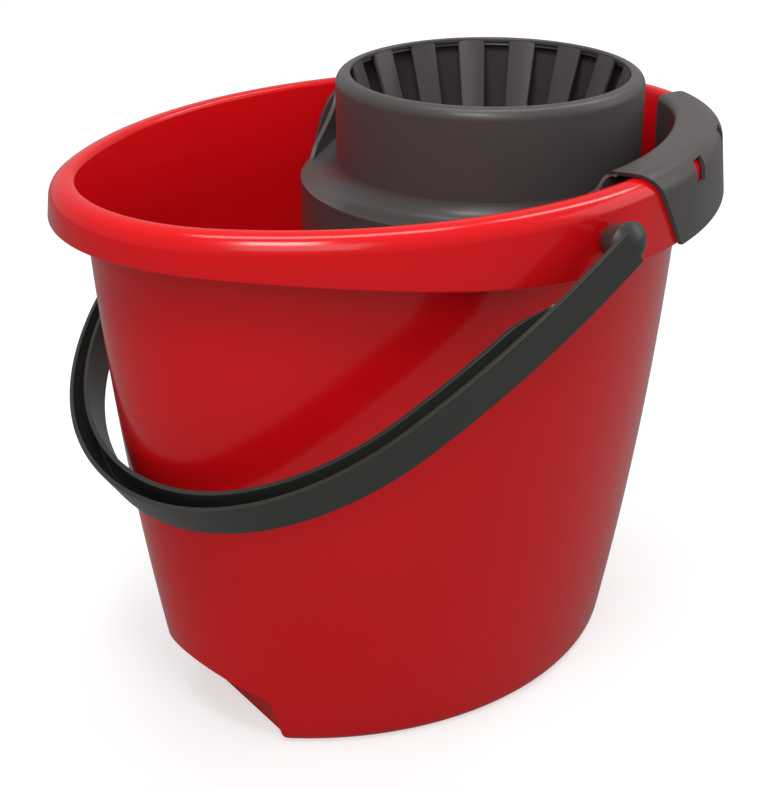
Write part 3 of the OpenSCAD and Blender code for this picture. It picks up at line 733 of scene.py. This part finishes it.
turn(points, faces, [(top_r + out, COLLAR_TOP - down) for out, down in RING_SECTION], on_axis)
turn(points, faces, [(PIP, CONE_LOW), (corner[0], CONE_LOW)] + arc(*corner, CUP_ROUND, -90, -18, 5)
     + [(cup_r - 0.0004, cup_top - 0.0003), (cup_r, cup_top), (cup_r + SLAT_T - 0.0004, cup_top),
        (cup_r + SLAT_T, cup_top - 0.0006)]
     + arc(*corner, CUP_ROUND + SLAT_T, -18, -90, 6) + [(PIP, CONE_LOW - SLAT_T)], on_axis)
cone = sheet_of("slatted_cone", points, faces=faces)
cone.data.materials.append(grey)
tidy(cone, 34)
for x, y in circle(DRAIN_AT, DRAINS):
    drain = block("drain", circle(DRAIN_R, 32), CONE_LOW - 0.01, CONE_LOW + 0.002,
                  Matrix.Translation((WRINGER_X + x, y, 0)))
    combine(cone, drain, "DIFFERENCE")


# %% The tree that sets the slats
def slats_round_the_axis():
    """One tapered bar, set round the axis as often as there are slats."""
    tree, given = new_tree("slats_round_the_axis", Slats="Int", Turn="Float", TopR="Float", CupR="Float",
                           TopZ="Float", CupZ="Float", Width="Float", Thick="Float", AxisX="Float",
                           Finish="Material")
    top_at = step(tree, "ShaderNodeCombineXYZ", -1100, 300, {0: given["TopR"], 2: given["TopZ"]})
    cup_at = step(tree, "ShaderNodeCombineXYZ", -1100, 100, {0: given["CupR"], 2: given["CupZ"]})
    line = step(tree, "GeometryNodeCurvePrimitiveLine", -900, 200,
                {"Start": top_at.outputs[0], "End": cup_at.outputs[0]})
    fine = step(tree, "GeometryNodeResampleCurve", -700, 200, {0: line.outputs[0], "Count": 10})
    upright = step(tree, "GeometryNodeSetCurveNormal", -500, 200, {0: fine.outputs[0]}, mode="Z_UP")
    bar = step(tree, "GeometryNodeCurvePrimitiveQuadrilateral", -900, -100,
               {"Width": given["Width"], "Height": given["Thick"]})
    bar_round = step(tree, "GeometryNodeFilletCurve", -700, -100,
                     {0: bar.outputs[0], "Count": 3, "Radius": SLAT_ROUND}, mode="POLY")
    share = step(tree, "ShaderNodeMath", -900, -300, {0: given["CupR"], 1: given["TopR"]}, operation="DIVIDE")
    along = step(tree, "GeometryNodeSplineParameter", -900, -500)
    size = step(tree, "ShaderNodeMapRange", -700, -400,
                {"Value": along.outputs["Factor"], "To Min": 1.0, "To Max": share.outputs[0]})
    slat = step(tree, "GeometryNodeCurveToMesh", -300, 100,
                {0: upright.outputs[0], 1: bar_round.outputs[0], "Scale": size.outputs[0], "Fill Caps": True})
    middle = step(tree, "ShaderNodeCombineXYZ", -500, -300, {0: given["AxisX"]})
    spots = step(tree, "GeometryNodePoints", -300, -200,
                 {"Count": given["Slats"], "Position": middle.outputs[0]})
    number = step(tree, "GeometryNodeInputIndex", -700, -600)
    pitch = step(tree, "ShaderNodeMath", -700, -700, {0: 2 * math.pi, 1: given["Slats"]}, operation="DIVIDE")
    angle = step(tree, "ShaderNodeMath", -500, -600,
                 {0: number.outputs[0], 1: pitch.outputs[0], 2: given["Turn"]}, operation="MULTIPLY_ADD")
    facing = step(tree, "ShaderNodeCombineXYZ", -300, -500, {2: angle.outputs[0]})
    row = step(tree, "GeometryNodeInstanceOnPoints", 0, 0,
               {"Points": spots.outputs[0], "Instance": slat.outputs[0], "Rotation": facing.outputs[0]})
    whole = step(tree, "GeometryNodeJoinGeometry", 300, 0, {0: given["Geometry"]})
    tree.links.new(row.outputs[0], whole.inputs[0])
    return finish_tree(tree, whole.outputs[0], given["Finish"])


grow(cone, slats_round_the_axis(), Slats=SLATS, Turn=SLAT_TURN, TopR=top_r + SLAT_T / 2,
     CupR=cup_r + SLAT_T / 2, TopZ=TOP_Z, CupZ=cup_top - 0.001,
     Width=2 * math.tan(math.pi / SLATS * SLAT_SHARE) * top_r, Thick=SLAT_T, AxisX=WRINGER_X, Finish=grey)
tidy(cone, 34, merge=1e-7)
install(cone, "wringer", "wringer", "sieve_cone")

# %% [markdown]
# ## Floor, light and camera
# The floor is a plain pale sheet that runs back out of sight. A softbox overhead draws the long highlight
# on the lip, a soft key comes from the near left, a fill from the right, a strip from over the wringer's
# end and a small lamp reaches into the bucket. With a low world light they keep a colour about as it is
# written. What the camera sees of the floor and the world is lifted to white, without more light on the
# bucket, and reflections get a share of that lift.

# %% Rays that should meet white
GLOSSY_SHARE = 0.22


def unlit_ray(tree, path, x):
    """Puts out 1 for camera and transmission rays, a share for glossy ones and 0 for the others."""
    share = step(tree, "ShaderNodeMath", x - 160, 0, {0: path["Is Glossy Ray"], 1: GLOSSY_SHARE},
                 operation="MULTIPLY")
    both = step(tree, "ShaderNodeMath", x, 60, {0: path["Is Camera Ray"], 1: share.outputs[0]},
                operation="MAXIMUM")
    every = step(tree, "ShaderNodeMath", x + 160, 60, {0: both.outputs[0], 1: path["Is Transmission Ray"]},
                 operation="MAXIMUM")
    return every.outputs[0]


# %% Floor
FLOOR_PALE, FLOOR_IN_GLOSS = 0.54, 0.16
LIFT_NEAR, LIFT_FAR = (0.30, 0.585), (1.8, 0.80)  # distance from the foot, and the lift there


def floor_plastic():
    """A dull pale sheet whose lift grows with the distance from the bucket."""
    material = bpy.data.materials.new("pale_floor")
    material.use_nodes = True
    tree = material.node_tree
    path = step(tree, "ShaderNodeLightPath", -900, 0).outputs
    shade = step(tree, "ShaderNodeMapRange", -400, 250,
                 {"Value": path["Is Glossy Ray"], "To Min": FLOOR_PALE, "To Max": FLOOR_IN_GLOSS})
    place = step(tree, "ShaderNodeTexCoord", -1000, -300)
    away = step(tree, "ShaderNodeVectorMath", -800, -300, {0: place.outputs["Object"]}, operation="LENGTH")
    fade = step(tree, "ShaderNodeMapRange", -600, -300,
                {"Value": away.outputs["Value"], "From Min": LIFT_NEAR[0], "From Max": LIFT_FAR[0],
                 "To Min": LIFT_NEAR[1], "To Max": LIFT_FAR[1]})
    glow = step(tree, "ShaderNodeMath", -200, 0, {0: unlit_ray(tree, path, -500), 1: fade.outputs["Result"]},
                operation="MULTIPLY")
    shader = tree.nodes["Principled BSDF"]
    tree.links.new(shade.outputs["Result"], shader.inputs["Base Color"])
    tree.links.new(glow.outputs[0], shader.inputs["Emission Strength"])
    shader.inputs["Emission Color"].default_value = (1, 1, 1, 1)
    shader.inputs["Roughness"].default_value = 0.9
    shader.inputs["Specular IOR Level"].default_value = 0.0
    return material


bpy.ops.mesh.primitive_plane_add(size=12, location=(0, 0, 0))
floor = bpy.context.object
floor.name = "floor"
floor.data.materials.append(floor_plastic())
print("floor lifted by", LIFT_NEAR[1], "near and", LIFT_FAR[1], "far")


# %% Lamps
def lamp(name, place, target, size, watts, size_y=None):
    """A square or oblong area lamp that faces a target."""
    data = bpy.data.lights.new(name, "AREA")
    data.energy, data.size = watts, size
    if size_y:
        data.shape, data.size_y = "RECTANGLE", size_y
    holder = bpy.data.objects.new(name, data)
    holder.location = place
    holder.rotation_euler = (Vector(target) - Vector(place)).to_track_quat("-Z", "Y").to_euler()
    bpy.context.collection.objects.link(holder)
    print("lamp", name, watts, "W")


lamp("overhead", (0.1, 0.2, 2.2), (0, 0, 0.3), 1.3, 15, 0.45)
lamp("key", (-1.1, -1.4, 1.6), (0, 0, 0.2), 1.2, 13)
lamp("fill", (1.6, -0.9, 1.0), (0, 0, 0.15), 1.2, 6)
lamp("strip", (1.5, 0.05, 2.1), (0, 0, 0.3), 0.4, 10, 1.0)
lamp("into_the_bucket", (-0.42, -0.36, 1.05), (-0.02, 0.1, 0.22), 0.25, 4)

# %% World
WORLD_LIGHT, WORLD_WHITE = 0.32, 1.0
world = bpy.data.worlds.new("studio")
bpy.context.scene.world = world
world.use_nodes = True
world_tree = world.node_tree
world_path = step(world_tree, "ShaderNodeLightPath", -900, 200).outputs
level = step(world_tree, "ShaderNodeMapRange", -200, 200, {"Value": unlit_ray(world_tree, world_path, -500),
                                                           "To Min": WORLD_LIGHT, "To Max": WORLD_WHITE})
back = world_tree.nodes["Background"]
world_tree.links.new(level.outputs["Result"], back.inputs["Strength"])
back.inputs["Color"].default_value = (1, 1, 1, 1)
print("world", WORLD_LIGHT, "as a light and", WORLD_WHITE, "as seen")

# %% Camera
camera = bpy.data.objects.new("camera", bpy.data.cameras.new("camera"))
bpy.context.collection.objects.link(camera)
right = Vector((0.81471752, -0.57982675, -0.00602547))
up = Vector((0.24934204, 0.34093241, 0.90641802))
turned = Matrix((right, up, right.cross(up))).transposed()
camera.matrix_world = Matrix.Translation((-0.48216, -0.66405, 0.54074)) @ turned.to_4x4()
camera.data.lens = 74.779492
camera.data.sensor_width = 36
camera.data.clip_start = 0.05
bpy.context.scene.camera = camera
bpy.context.scene.view_settings.view_transform = "Standard"
print("camera", tuple(round(v, 3) for v in camera.location), "lens", round(camera.data.lens, 1))
